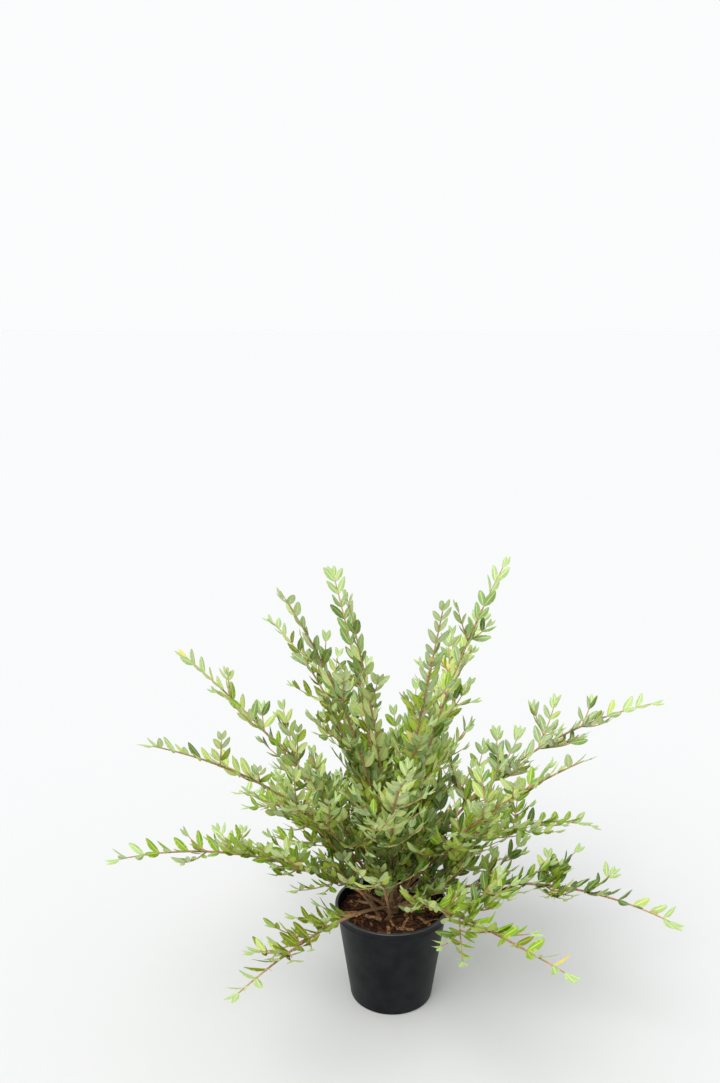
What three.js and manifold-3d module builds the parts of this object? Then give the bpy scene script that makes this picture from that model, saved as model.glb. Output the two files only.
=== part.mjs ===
// Privet honeysuckle, a young evergreen shrub in a round nursery pot.
// Millimetres, +Z up. The origin is the middle of the pot's flat underside, and -Y is the front.
// Shoots fan out of a short root crown. The bare lower part of a shoot is its bough, and the
// leafy rest is its foliage: one stem, side twigs and leaves, fused into one solid.

import * as THREE from "three";
import { mergeVertices } from "three/addons/utils/BufferGeometryUtils.js";
import Module from "manifold-3d";

const wasm = await Module();
wasm.setup();

// Clearance between neighbouring pieces, and the shortest edge that a fused piece keeps
const GAP = 0.3;
const HAIRLINE = 0.01;

// Pot
const POT_HEIGHT = 108;
const POT_RIM_RADIUS = 62.5;
const POT_BASE_RADIUS = 45;
const POT_WALL = 1.3;
const POT_FLOOR = 1.8;
const POT_BASE_CHAMFER = 2.2;
const RIM_BAND_HEIGHT = 9;
const RIM_BAND_STEP = 2.6;
const RIM_LIP = 1.1;
const POT_SIDES = 32;
const DRAIN_COUNT = 8;
const DRAIN_RADIUS = 4;
const DRAIN_RING_RADIUS = 34;
const DRAIN_SIDES = 10;

// Growing medium, with its top bumpy outside a flat middle
const MEDIUM_DROP = 10;
const MEDIUM_BUMP = 1.8;
const MEDIUM_BUMP_REACH = 3.4;
const MEDIUM_FLAT_RADIUS = 30;
const MEDIUM_RINGS = [MEDIUM_FLAT_RADIUS, 42, 52];
const CHIP_COUNT = 8;
const CHIP_SIZE = new THREE.Vector3(11, 4.5, 3);
const CHIP_TILT = 0.25;

// Root crown, with its outline as radius and share of the height
const CROWN_HEIGHT = 26;
const CROWN_OUTLINE = [[8.5, 0], [7.7, 0.14], [6.9, 0.45], [6.4, 0.86], [5.7, 1]];
const CROWN_BEND = 0.6;
const CROWN_LOBES = 5;
const CROWN_LOBE_DEPTH = 0.07;
const CROWN_SIDES = 15;

// Shoots: each ring starts on or round the root crown. Angles are from the vertical, in degrees,
// at the foot and at the tip, and turn is where the ring's first shoot points.
const SHOOT_SEED = 19;
const RINGS = [
  { name: "leader", count: 1, footRadius: 0.3, footHeight: 26.6, lean: [3, 16], length: 300, turn: 200 },
  { name: "upright", count: 4, footRadius: 4.8, footHeight: 26.8, lean: [9, 34], length: 345, turn: 35 },
  { name: "arching", count: 7, footRadius: 8.6, footHeight: 18, lean: [30, 66], length: 318, turn: 10 },
  { name: "spreading", count: 7, footRadius: 8.4, footHeight: 8, lean: [58, 102], length: 270, turn: 35.7 },
  { name: "inner", count: 7, footRadius: 19, footHeight: 1.4, lean: [26, 56], length: 150, turn: 10 },
];
const TURN_SPREAD = 6;
const LEAN_SPREAD = 5;
const TIP_LEAN_SPREAD = 12;
const DRIFT_SPREAD = 26;
const LENGTH_SPREAD = 0.13;
const AXIS_STEPS = 9;

// Boughs, stems and twigs
const BOUGH_SHARE = 0.3;
const BOUGH_FOOT_RADIUS = 1.8;
const BOUGH_TIP_RADIUS = 1.5;
const BOUGH_SIDES = 6;
const STEM_TIP_RADIUS = 0.9;
const STEM_SIDES = 3;
const TWIG_SPACING = 52;
const TWIG_FIRST = 16;
const TWIG_ZONE = 0.8;
const TWIG_REACH = 88;
const TWIG_REACH_SHARES = [0.45, 1.1];
const TWIG_THINNING = 0.8;
const TWIG_LEAST = 22;
const TWIG_ANGLE = 48;
const TWIG_ANGLE_SPREAD = 12;
const TWIG_TURN_SPREAD = 25;
const TWIG_LIFT = 0.55;
const TWIG_STEPS = 2;
const TWIG_FOOT_RADIUS = 0.75;
const TWIG_TIP_RADIUS = 0.65;

// Leaves, in pairs, and one at each tip
const LEAF_LENGTH = 33;
const LEAF_LENGTH_SPREAD = 0.12;
const LEAF_TIP_SCALE = 0.72;
const LEAF_SHAPE = 0.4;
const LEAF_THICKNESS = 0.9;
const LEAF_WIDEST = 0.46;
const LEAF_ROOT = 0.3;
const LEAF_STAGGER = 1.3;
const LEAF_SPACING = 33;
const LEAF_FIRST = 18;
const LEAF_LAST = 10;
const LEAF_ANGLE = 46;
const LEAF_ANGLE_SPREAD = 10;
const LEAF_TURN_SPREAD = 30;
const LEAF_LIFT = 0.3;
const LEAF_ROLL = 24;

// Space that each shoot keeps to
const SPACE_MARGIN = 1.6;
const LIMB_MARGIN = 1.2;
const RIM_MARGIN = 3;
const SAMPLE_STEP = 5;

// Seeds that set a shoot's twigs and leaves apart from the next shoot's
const TWIG_SEED = 1000;
const LEAF_SEED = 2000;

const UP = new THREE.Vector3(0, 0, 1);
const radians = THREE.MathUtils.degToRad;
const mix = THREE.MathUtils.lerp;
const mediumTop = POT_HEIGHT - MEDIUM_DROP;

const potMaterial = new THREE.MeshStandardMaterial({ color: 0x1b1c1e, roughness: 0.42, metalness: 0 });
const mediumMaterial = new THREE.MeshStandardMaterial({ color: 0x3a2418, roughness: 0.95, metalness: 0 });
const barkMaterial = new THREE.MeshStandardMaterial({ color: 0x6b4a3c, roughness: 0.8, metalness: 0 });
const leafMaterial = new THREE.MeshStandardMaterial({ color: 0x6f8f3c, roughness: 0.45, metalness: 0 });

// Seeded random numbers from 0 to 1
function seededRandom(seed) {
  let state = seed >>> 0;
  return () => {
    state = (state + 0x6d2b79f5) >>> 0;
    let mixed = Math.imul(state ^ (state >>> 15), state | 1);
    mixed ^= mixed + Math.imul(mixed ^ (mixed >>> 7), mixed | 61);
    return ((mixed ^ (mixed >>> 14)) >>> 0) / 4294967296;
  };
}

// A number from -spread to spread
function spreadOf(random, spread) {
  return (2 * random() - 1) * spread;
}

// Solids from closed geometries, and back
function solidOf(geometry) {
  const bare = geometry.clone();
  bare.deleteAttribute("normal");
  bare.deleteAttribute("uv");
  const merged = mergeVertices(bare, 1e-4);
  return new wasm.Manifold(new wasm.Mesh({
    numProp: 3,
    vertProperties: new Float32Array(merged.attributes.position.array),
    triVerts: new Uint32Array(merged.index.array),
  }));
}

function geometryOf(solid) {
  const mesh = solid.getMesh();
  const geometry = new THREE.BufferGeometry();
  geometry.setAttribute("position", new THREE.BufferAttribute(mesh.vertProperties, 3));
  geometry.setIndex(new THREE.BufferAttribute(mesh.triVerts, 1));
  geometry.computeVertexNormals();
  return geometry;
}

// Fuses solids into one body, without the loose scraps, sealed hollows and hairline edges
// that fusing leaves
function fuse(solids) {
  const whole = solids.reduce((sum, solid) => sum.add(solid));
  const bodies = whole.decompose();
  const body = bodies.reduce((largest, other) => (other.volume() > largest.volume() ? other : largest));
  return body.asOriginal().simplify(HAIRLINE);
}

function namedMesh(name, geometry, material) {
  const mesh = new THREE.Mesh(geometry, material);
  mesh.name = name;
  return mesh;
}

// Lathe about the vertical axis from [radius, height] pairs
function lathe(profile, sides) {
  const points = profile.map(([radius, height]) => new THREE.Vector2(radius, height));
  return new THREE.LatheGeometry(points, sides).rotateX(Math.PI / 2);
}

// Pot: tapered thin wall, flat floor with drain holes, stepped rim band with a rounded lip
function wallRadius(height) {
  return mix(POT_BASE_RADIUS, POT_RIM_RADIUS - RIM_BAND_STEP, height / (POT_HEIGHT - RIM_BAND_HEIGHT));
}

function buildPot() {
  const bandFoot = POT_HEIGHT - RIM_BAND_HEIGHT;
  const lipInner = POT_RIM_RADIUS - 2 * RIM_LIP;
  let pot = solidOf(lathe([
    [0, 0],
    [POT_BASE_RADIUS - POT_BASE_CHAMFER, 0],
    [wallRadius(POT_BASE_CHAMFER), POT_BASE_CHAMFER],
    [wallRadius(bandFoot), bandFoot],
    [POT_RIM_RADIUS - 0.5 * RIM_LIP, bandFoot + 0.5 * RIM_LIP],
    [POT_RIM_RADIUS, POT_HEIGHT - RIM_LIP],
    [POT_RIM_RADIUS - 0.5 * RIM_LIP, POT_HEIGHT],
    [lipInner, POT_HEIGHT],
    [lipInner - 0.5 * RIM_LIP, POT_HEIGHT - RIM_LIP],
    [wallRadius(bandFoot) - POT_WALL, bandFoot],
    [wallRadius(POT_BASE_CHAMFER) - POT_WALL, POT_BASE_CHAMFER + POT_FLOOR],
    [POT_BASE_RADIUS - POT_BASE_CHAMFER, POT_FLOOR],
    [0, POT_FLOOR],
  ], POT_SIDES));
  for (let index = 0; index < DRAIN_COUNT; index += 1) {
    const angle = (index + 0.5) * 2 * Math.PI / DRAIN_COUNT;
    const drill = new THREE.CylinderGeometry(DRAIN_RADIUS, DRAIN_RADIUS, 4 * POT_FLOOR, DRAIN_SIDES);
    drill.rotateX(Math.PI / 2);
    drill.translate(DRAIN_RING_RADIUS * Math.cos(angle), DRAIN_RING_RADIUS * Math.sin(angle), 0);
    pot = pot.subtract(solidOf(drill));
  }
  return namedMesh("pot", geometryOf(pot), potMaterial);
}

// Growing medium: a plug that fills the pot to below its rim, with a few bark chips bedded in it
function mediumRadius(height) {
  return wallRadius(height) - POT_WALL - GAP;
}

function buildMedium(random) {
  const floor = POT_BASE_CHAMFER + POT_FLOOR;
  const top = MEDIUM_RINGS.map((radius) => [radius, mediumTop]);
  const plug = lathe([
    [0, POT_FLOOR + GAP],
    [POT_BASE_RADIUS - POT_BASE_CHAMFER - 2 * POT_FLOOR, POT_FLOOR + GAP],
    [mediumRadius(floor), floor + GAP],
    [mediumRadius(mediumTop - 2 * MEDIUM_BUMP), mediumTop - 2 * MEDIUM_BUMP],
    ...top.reverse(),
    [0, mediumTop],
  ], POT_SIDES);
  const position = plug.attributes.position;
  for (let index = 0; index < position.count; index += 1) {
    const x = position.getX(index);
    const y = position.getY(index);
    const rough = Math.hypot(x, y) > MEDIUM_FLAT_RADIUS + 1;
    if (rough && position.getZ(index) > mediumTop - MEDIUM_BUMP) {
      const wave = Math.sin(x / MEDIUM_BUMP_REACH + 1) * Math.cos(y / MEDIUM_BUMP_REACH);
      position.setZ(index, mediumTop + MEDIUM_BUMP * wave);
    }
  }
  const solids = [solidOf(plug)];
  for (let index = 0; index < CHIP_COUNT; index += 1) {
    const angle = (index + 0.5 * random()) * 2 * Math.PI / CHIP_COUNT;
    const innermost = MEDIUM_FLAT_RADIUS + 0.5 * CHIP_SIZE.x;
    const reach = mix(innermost, mediumRadius(mediumTop) - CHIP_SIZE.x, random());
    const chip = new THREE.BoxGeometry(CHIP_SIZE.x, CHIP_SIZE.y, CHIP_SIZE.z);
    chip.rotateY(spreadOf(random, CHIP_TILT));
    chip.rotateZ(Math.PI * random());
    chip.translate(reach * Math.cos(angle), reach * Math.sin(angle), mediumTop);
    solids.push(solidOf(chip));
  }
  return namedMesh("growing_medium", geometryOf(fuse(solids)), mediumMaterial);
}

// Root crown: a short woody foot with a lobed root flare and a slight bend
function buildCrown() {
  const outline = CROWN_OUTLINE.map(([radius, share]) => [radius, mix(GAP, CROWN_HEIGHT, share)]);
  const geometry = lathe([[0, GAP], ...outline, [0, CROWN_HEIGHT]], CROWN_SIDES);
  const position = geometry.attributes.position;
  for (let index = 0; index < position.count; index += 1) {
    const share = position.getZ(index) / CROWN_HEIGHT;
    const angle = Math.atan2(position.getY(index), position.getX(index));
    const lobe = 1 - CROWN_LOBE_DEPTH * (1 - share) * (1 + Math.cos(CROWN_LOBES * angle)) / 2;
    position.setX(index, position.getX(index) * lobe + CROWN_BEND * share * (1 - share));
    position.setY(index, position.getY(index) * lobe);
  }
  return namedMesh("root_crown", geometryOf(solidOf(geometry)), barkMaterial);
}

// Axis of straight steps from a foot. Each station has a place, a direction and a sideways direction.
function axisOf(foot, length, steps, directionAt, sideAt) {
  const place = foot.clone();
  const stations = [];
  for (let step = 0; step <= steps; step += 1) {
    stations.push({
      place: place.clone(),
      direction: directionAt(step / steps),
      side: sideAt(step / steps),
    });
    place.addScaledVector(directionAt((step + 0.5) / steps), length / steps);
  }
  return { stations, length };
}

// Axis of a shoot: it starts at its lean at the foot, bends over to its lean at the tip and
// drifts a little to one side
function shootAxis(ring, index, random) {
  const azimuth = ring.turn + index * 360 / ring.count + spreadOf(random, TURN_SPREAD);
  const footLean = ring.lean[0] + spreadOf(random, Math.min(LEAN_SPREAD, 0.5 * ring.lean[0]));
  const tipLean = ring.lean[1] + spreadOf(random, TIP_LEAN_SPREAD);
  const drift = spreadOf(random, DRIFT_SPREAD);
  const length = ring.length * (1 + spreadOf(random, LENGTH_SPREAD));
  const facing = radians(azimuth);
  const place = new THREE.Vector3(
    ring.footRadius * Math.cos(facing),
    ring.footRadius * Math.sin(facing),
    ring.footHeight,
  );
  const headingAt = (share) => radians(azimuth + drift * share * share);
  const directionAt = (share) => {
    const lean = radians(mix(footLean, tipLean, share));
    const across = Math.sin(lean);
    return new THREE.Vector3(
      across * Math.cos(headingAt(share)),
      across * Math.sin(headingAt(share)),
      Math.cos(lean),
    );
  };
  const sideAt = (share) => new THREE.Vector3(-Math.sin(headingAt(share)), Math.cos(headingAt(share)), 0);
  return axisOf(place, length, AXIS_STEPS, directionAt, sideAt);
}

// Axis of a side twig, which leaves its stem at an angle and lifts towards the light
function twigAxis(foot, heading, length) {
  const directionAt = (share) => heading.clone().addScaledVector(UP, TWIG_LIFT * share).normalize();
  const sideAt = (share) => new THREE.Vector3().crossVectors(UP, directionAt(share)).normalize();
  return axisOf(foot, length, TWIG_STEPS, directionAt, sideAt);
}

// Place, direction and side at a distance along an axis
function stationAt(axis, distance) {
  const steps = axis.stations.length - 1;
  const exact = THREE.MathUtils.clamp(distance / axis.length, 0, 1) * steps;
  const lower = Math.min(Math.floor(exact), steps - 1);
  const [before, after] = [axis.stations[lower], axis.stations[lower + 1]];
  return {
    place: before.place.clone().lerp(after.place, exact - lower),
    direction: before.direction.clone().lerp(after.direction, exact - lower).normalize(),
    side: before.side.clone().lerp(after.side, exact - lower).normalize(),
  };
}

// Tapering tube along an axis, from one distance to another: a cylinder with a ring at each end
// and at each station between, bent to the axis
function taperingTube(axis, from, to, footRadius, tipRadius, sides) {
  const spacing = axis.length / (axis.stations.length - 1);
  const rings = [from];
  for (let distance = spacing; distance < to - 0.2 * spacing; distance += spacing) {
    if (distance > from + 0.2 * spacing) {
      rings.push(distance);
    }
  }
  rings.push(to);
  const steps = rings.length - 1;
  const geometry = new THREE.CylinderGeometry(1, 1, 1, sides, steps);
  const position = geometry.attributes.position;
  const point = new THREE.Vector3();
  for (let index = 0; index < position.count; index += 1) {
    point.fromBufferAttribute(position, index);
    const distance = rings[Math.round((point.y + 0.5) * steps)];
    const radius = mix(footRadius, tipRadius, (distance - from) / (to - from));
    const station = stationAt(axis, distance);
    const across = new THREE.Vector3().crossVectors(station.direction, station.side);
    const placed = station.place.addScaledVector(across, radius * point.z);
    placed.addScaledVector(station.side, -radius * point.x);
    position.setXYZ(index, placed.x, placed.y, placed.z);
  }
  return geometry;
}

// Leaf: a thin blade, pointed at both ends, widest below its middle, flat above and keeled below
function leafGeometry(leaf) {
  const widest = LEAF_WIDEST * leaf.length;
  const halfWidth = 0.5 * LEAF_SHAPE * leaf.length;
  const points = [
    new THREE.Vector3(0, 0, 0),
    new THREE.Vector3(widest, halfWidth, 0),
    new THREE.Vector3(leaf.length, 0, 0),
    new THREE.Vector3(widest, -halfWidth, 0),
    new THREE.Vector3(widest, 0, -LEAF_THICKNESS),
  ];
  const [root, left, tip, right, keel] = [0, 1, 2, 3, 4];
  const geometry = new THREE.BufferGeometry().setFromPoints(points);
  geometry.setIndex([
    root, right, left, tip, left, right,
    root, keel, right, right, keel, tip, tip, keel, left, left, keel, root,
  ]);
  geometry.translate(-LEAF_ROOT, 0, 0);
  const across = new THREE.Vector3().crossVectors(leaf.normal, leaf.direction).normalize();
  const normal = new THREE.Vector3().crossVectors(leaf.direction, across);
  geometry.applyMatrix4(new THREE.Matrix4().makeBasis(leaf.direction, across, normal));
  geometry.translate(leaf.foot.x, leaf.foot.y, leaf.foot.z);
  return geometry;
}

// Distance from a point to the part of an axis that lies between two distances along it
function distanceToAxis(point, axis, from = 0, to = axis.length) {
  const steps = axis.stations.length - 1;
  const nearest = new THREE.Vector3();
  const first = Math.floor(from / axis.length * steps);
  const last = Math.min(Math.ceil(to / axis.length * steps), steps);
  let least = Infinity;
  for (let step = first; step < last; step += 1) {
    const line = new THREE.Line3(axis.stations[step].place, axis.stations[step + 1].place);
    line.closestPointToPoint(point, true, nearest);
    least = Math.min(least, nearest.distanceTo(point));
  }
  return least;
}

// A point is free for a shoot when its own axis is the nearest one, no bough, crown or rim is
// close by, and it lies above the pot
function isFree(point, shoot, shoots) {
  const own = distanceToAxis(point, shoot.axis);
  const overPot = Math.hypot(point.x, point.y) < POT_RIM_RADIUS + RIM_MARGIN;
  if (point.z < (overPot ? MEDIUM_DROP + RIM_MARGIN : MEDIUM_DROP - POT_HEIGHT + RIM_MARGIN)) {
    return false;
  }
  if (distanceToAxis(point, shoot.axis, 0, shoot.join) < BOUGH_FOOT_RADIUS + LIMB_MARGIN) {
    return false;
  }
  return shoots.every((other) => other === shoot || distanceToAxis(point, other.axis) > own + SPACE_MARGIN);
}

function twigIsFree(axis, shoot, shoots) {
  for (let distance = SAMPLE_STEP; distance <= axis.length; distance += SAMPLE_STEP) {
    if (!isFree(stationAt(axis, distance).place, shoot, shoots)) {
      return false;
    }
  }
  return true;
}

function leafIsFree(leaf, shoot, shoots) {
  const across = new THREE.Vector3().crossVectors(leaf.normal, leaf.direction).normalize();
  const halfWidth = 0.5 * LEAF_SHAPE * leaf.length;
  for (let distance = SAMPLE_STEP; distance <= leaf.length; distance += SAMPLE_STEP) {
    const spine = leaf.foot.clone().addScaledVector(leaf.direction, distance);
    const taper = 1 - Math.abs(distance / leaf.length - LEAF_WIDEST) / (1 - LEAF_WIDEST);
    for (const edge of [-1, 0, 1]) {
      const point = spine.clone().addScaledVector(across, edge * Math.max(taper, 0) * halfWidth);
      if (!isFree(point, shoot, shoots)) {
        return false;
      }
    }
  }
  return true;
}

// The two leaves of a node stand on either side of the stem, tilted forwards and up
function leafPair(axis, distance, turn, scale, random) {
  const station = stationAt(axis, distance);
  const pair = [];
  for (const hand of [-1, 1]) {
    const outward = station.side.clone().multiplyScalar(hand).applyAxisAngle(station.direction, turn);
    const angle = radians(LEAF_ANGLE + spreadOf(random, LEAF_ANGLE_SPREAD));
    const direction = station.direction.clone().multiplyScalar(Math.cos(angle));
    direction.addScaledVector(outward, Math.sin(angle)).addScaledVector(UP, LEAF_LIFT).normalize();
    const normal = new THREE.Vector3().crossVectors(station.direction, outward).multiplyScalar(hand);
    normal.applyAxisAngle(direction, radians(spreadOf(random, LEAF_ROLL)));
    const length = LEAF_LENGTH * scale * (1 + spreadOf(random, LEAF_LENGTH_SPREAD));
    const foot = station.place.clone().addScaledVector(station.direction, hand * LEAF_STAGGER);
    pair.push({ foot, direction, normal, length });
  }
  return pair;
}

// Leaves along an axis from a distance to its tip, where they grow smaller
function leavesAlong(axis, from, random) {
  const leaves = [];
  for (let distance = from; distance < axis.length - LEAF_LAST; distance += LEAF_SPACING) {
    const scale = mix(1, LEAF_TIP_SCALE, distance / axis.length);
    const turn = radians(spreadOf(random, LEAF_TURN_SPREAD));
    leaves.push(...leafPair(axis, distance, turn, scale, random));
  }
  const tip = stationAt(axis, axis.length - LEAF_ROOT);
  const normal = new THREE.Vector3().crossVectors(tip.direction, tip.side);
  leaves.push({ foot: tip.place, direction: tip.direction, normal, length: LEAF_TIP_SCALE * LEAF_LENGTH });
  return leaves;
}

// Side twigs in pairs along a stem, longest low down, flat on a spreading stem and turned by
// up to a right angle from pair to pair on an upright one
function twigsAlong(shoot, random) {
  const twigs = [];
  const end = TWIG_ZONE * shoot.axis.length;
  let crossed = false;
  for (let distance = shoot.join + TWIG_FIRST; distance < end; distance += TWIG_SPACING) {
    const station = stationAt(shoot.axis, distance);
    const upright = Math.abs(station.direction.z);
    const turn = radians(spreadOf(random, TWIG_TURN_SPREAD) + (crossed ? 90 * upright : 0));
    crossed = !crossed;
    const share = (distance - shoot.join) / (shoot.axis.length - shoot.join);
    for (const hand of [-1, 1]) {
      const outward = station.side.clone().multiplyScalar(hand).applyAxisAngle(station.direction, turn);
      const angle = radians(TWIG_ANGLE + spreadOf(random, TWIG_ANGLE_SPREAD));
      const heading = station.direction.clone().multiplyScalar(Math.cos(angle));
      heading.addScaledVector(outward, Math.sin(angle)).normalize();
      const length = TWIG_REACH * Math.pow(1 - share, TWIG_THINNING) * mix(...TWIG_REACH_SHARES, random());
      if (length > TWIG_LEAST) {
        twigs.push(twigAxis(station.place, heading, length));
      }
    }
  }
  return twigs;
}

// Shoots: all axes first, because each shoot's space depends on the others
function growShoots(random) {
  const shoots = [];
  for (const ring of RINGS) {
    for (let index = 0; index < ring.count; index += 1) {
      const axis = shootAxis(ring, index, random);
      const number = ring.count > 1 ? `${ring.name}_${index + 1}` : ring.name;
      shoots.push({ name: number, axis, join: BOUGH_SHARE * axis.length });
    }
  }
  return shoots;
}

function buildBough(shoot) {
  const tube = taperingTube(
    shoot.axis, 0, shoot.join, BOUGH_FOOT_RADIUS, BOUGH_TIP_RADIUS, BOUGH_SIDES,
  );
  return namedMesh(`bough_${shoot.name}`, geometryOf(solidOf(tube)), barkMaterial);
}

function buildFoliage(shoot, shoots, twigRandom, leafRandom) {
  const axis = shoot.axis;
  const stem = taperingTube(
    axis, shoot.join + GAP, axis.length, BOUGH_TIP_RADIUS, STEM_TIP_RADIUS, STEM_SIDES,
  );
  const solids = [solidOf(stem)];
  let leaves = leavesAlong(axis, shoot.join + LEAF_FIRST, leafRandom);
  for (const twig of twigsAlong(shoot, twigRandom)) {
    const leavesOfTwig = leavesAlong(twig, LEAF_FIRST, leafRandom);
    if (twigIsFree(twig, shoot, shoots)) {
      solids.push(solidOf(taperingTube(twig, 0, twig.length, TWIG_FOOT_RADIUS, TWIG_TIP_RADIUS, STEM_SIDES)));
      leaves = leaves.concat(leavesOfTwig);
    }
  }
  const kept = leaves.filter((leaf) => leafIsFree(leaf, shoot, shoots));
  solids.push(...kept.map((leaf) => solidOf(leafGeometry(leaf))));
  return namedMesh(`foliage_${shoot.name}`, geometryOf(fuse(solids)), leafMaterial);
}

const shoots = growShoots(seededRandom(SHOOT_SEED));

const plant = new THREE.Group();
plant.position.z = mediumTop;
plant.add(buildCrown());
shoots.forEach((shoot, index) => {
  plant.add(buildBough(shoot));
  const twigRandom = seededRandom(TWIG_SEED + index);
  const leafRandom = seededRandom(LEAF_SEED + index);
  plant.add(buildFoliage(shoot, shoots, twigRandom, leafRandom));
});

const honeysuckle = new THREE.Group();
honeysuckle.add(buildPot());
honeysuckle.add(buildMedium(seededRandom(SHOOT_SEED)));
honeysuckle.add(plant);

export default honeysuckle;
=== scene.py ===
# Potted privet honeysuckle: bark, twigs, leaves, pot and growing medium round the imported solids.
# Sizes are in millimetres until a mesh is made. Angles are in degrees, and tilts, curls and twists
# in radians. +Z is up and -Y is the front. The plant's own places are relative to the middle of
# the growing medium's top.

import math
from itertools import product

import bmesh
import bpy
import numpy as np
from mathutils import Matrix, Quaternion, Vector, noise


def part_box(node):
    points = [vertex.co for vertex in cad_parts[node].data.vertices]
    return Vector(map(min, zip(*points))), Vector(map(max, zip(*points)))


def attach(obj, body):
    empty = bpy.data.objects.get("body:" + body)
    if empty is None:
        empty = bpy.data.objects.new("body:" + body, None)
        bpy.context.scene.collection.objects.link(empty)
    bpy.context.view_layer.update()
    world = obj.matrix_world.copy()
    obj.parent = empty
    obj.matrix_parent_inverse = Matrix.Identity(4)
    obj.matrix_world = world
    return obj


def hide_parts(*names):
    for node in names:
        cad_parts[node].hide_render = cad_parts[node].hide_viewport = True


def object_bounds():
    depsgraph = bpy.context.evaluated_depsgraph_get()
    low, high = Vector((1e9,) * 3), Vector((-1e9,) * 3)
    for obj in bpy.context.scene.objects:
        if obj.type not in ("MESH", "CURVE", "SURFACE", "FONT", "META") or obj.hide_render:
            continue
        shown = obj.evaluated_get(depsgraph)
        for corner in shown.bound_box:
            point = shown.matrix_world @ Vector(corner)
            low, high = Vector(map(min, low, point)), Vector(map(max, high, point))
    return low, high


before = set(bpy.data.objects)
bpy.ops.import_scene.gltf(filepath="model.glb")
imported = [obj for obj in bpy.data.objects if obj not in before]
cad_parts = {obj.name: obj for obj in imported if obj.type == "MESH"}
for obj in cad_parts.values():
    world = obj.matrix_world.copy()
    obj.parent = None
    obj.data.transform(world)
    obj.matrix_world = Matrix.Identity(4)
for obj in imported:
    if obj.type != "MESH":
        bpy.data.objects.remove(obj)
cad_low, cad_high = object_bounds()

MM = 0.001
UP = Vector((0, 0, 1))

# Pot, read from the frame where the solid gives it
POT_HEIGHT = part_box("pot")[1].z / MM
POT_RIM_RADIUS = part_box("pot")[1].x / MM
POT_BASE_RADIUS = 45
POT_WALL = 1.3
POT_FLOOR = 1.8
FLOOR_CORNER_HEIGHT = 4
BASE_CHAMFER = 2.2
BAND_HEIGHT = 9
BAND_STEP = 2.6
LIP = 3.2
# Height at the top of the lip that takes a paler finish, a painted highlight
LIP_HIGHLIGHT_HEIGHT = 1
POT_SIDES = 160
DRAIN_COUNT = 8
DRAIN_RADIUS = 4
DRAIN_RING_RADIUS = 34
DRAIN_SIDES = 32
WELD_DISTANCE = 0.002

# Rings on the pot's flat and straight stretches: radii, and shares of the wall's height
UNDERSIDE_RINGS = (0, 8, 24, POT_BASE_RADIUS - 1.6 * BASE_CHAMFER)
FLOOR_RINGS = (24, 8, 0)
OUTER_WALL_RINGS = (0.1, 0.3, 0.6, 0.9, 0.985)
INNER_WALL_RINGS = (0.8, 0.5, 0.2)

# The pot's rim, from under its band, up and over the lip, to the step inside. Each point is an
# inset from the outer edge and a drop from the top. Three points are the start, corner and end of
# a curve, the fillet's curve starts on the wall, and the band's face is straight.
INNER_WALL_INSET = BAND_STEP + POT_WALL
FILLET_DROP = 0.4
FILLET = ((BAND_STEP, BAND_HEIGHT), (BAND_STEP - 0.5, BAND_HEIGHT))
BAND_EDGE = ((0.9, BAND_HEIGHT), (0.1, BAND_HEIGHT), (0.1, BAND_HEIGHT - 0.9))
BAND_FACE = ((0.45, BAND_HEIGHT - 2.2), (0.45, 3.2))
BEAD = ((0.4, 3.1), (0, 2.8), (0, 2.2))
LIP_EDGE = ((0, 0.9), (0, 0), (0.8, 0))
LIP_GROOVE = ((0.9, 0.1), (1.1, 0.45), (1.4, 0.1))
LIP_INSIDE = ((LIP - 0.5, 0), (LIP, 0), (LIP, 0.5))
INSIDE_STEP = (
    (LIP + 0.1, 4),
    (INNER_WALL_INSET - 0.6, BAND_HEIGHT - 1.5),
    (INNER_WALL_INSET, BAND_HEIGHT + 2),
)
CURVE_STEPS = 4
FINE_CURVE_STEPS = 2

# Growing medium: a plug with a chamfered foot and a bumpy top that drops at its edge
MEDIUM_TOP = POT_HEIGHT - 10
MEDIUM_GAP = 0.3
MEDIUM_RINGS = 64
MEDIUM_SECTORS = 180
MEDIUM_FOOT_INSET = 6
MEDIUM_FOOT_HEIGHT = 5
MEDIUM_SIDE_DROP = 4
MEDIUM_EDGE_DROP = 1.2
MEDIUM_EDGE_SHARE = 0.06
MEDIUM_ROUGHNESS = 1.9
MEDIUM_CALM_RADIUS = 12
MEDIUM_CALM_BORDER = 10
MEDIUM_LEAST_BUMPS = 0.15
BUMP_SCALE = 0.09
BUMP_SHARE = 0.7
CRUMB_SCALE = 0.33
CRUMB_SHARE = 0.75
CRUMB_OCTAVES = 3
NOISE_HEIGHTS = (3.1, 7.7)
MEDIUM_SEED = 301
LITTER_MARGIN = 3
TILT_HEADING_RANGE = 6.3

# Bark chips: the share of each kind, sizes, corners and how they lie
BROWN_CHIP, RUSSET_CHIP, PALE_CHIP = range(3)
CHIP_FINISHES = ("bark_chip", "russet_chip", "wood_chip")
CHIP_COUNT = 400
PALE_CHIP_SHARE = 0.09
RUSSET_CHIP_SHARE = 0.36
CHIP_LENGTHS = (3, 17)
PALE_CHIP_LENGTHS = (5, 25)
CHIP_LENGTH_POWER = 2.8
CHIP_SLENDERNESS = (0.035, 0.10)
CHIP_LEAST_HALF_WIDTH = 0.4
CHIP_HALF_THICKNESSES = (0.4, 1.1)
CHIP_STATIONS = (-1, -0.3, 0.4, 1)
CHIP_RAGGEDNESS = 0.28
CHIP_END_SPREAD = 0.1
CHIP_TILT = 0.5
CHIP_END_LIFT = 2.6
PALE_CHIP_LIFT = 0.35
CHIP_INNERMOST = 10
CHIP_EDGE_MARGIN = 1

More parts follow.
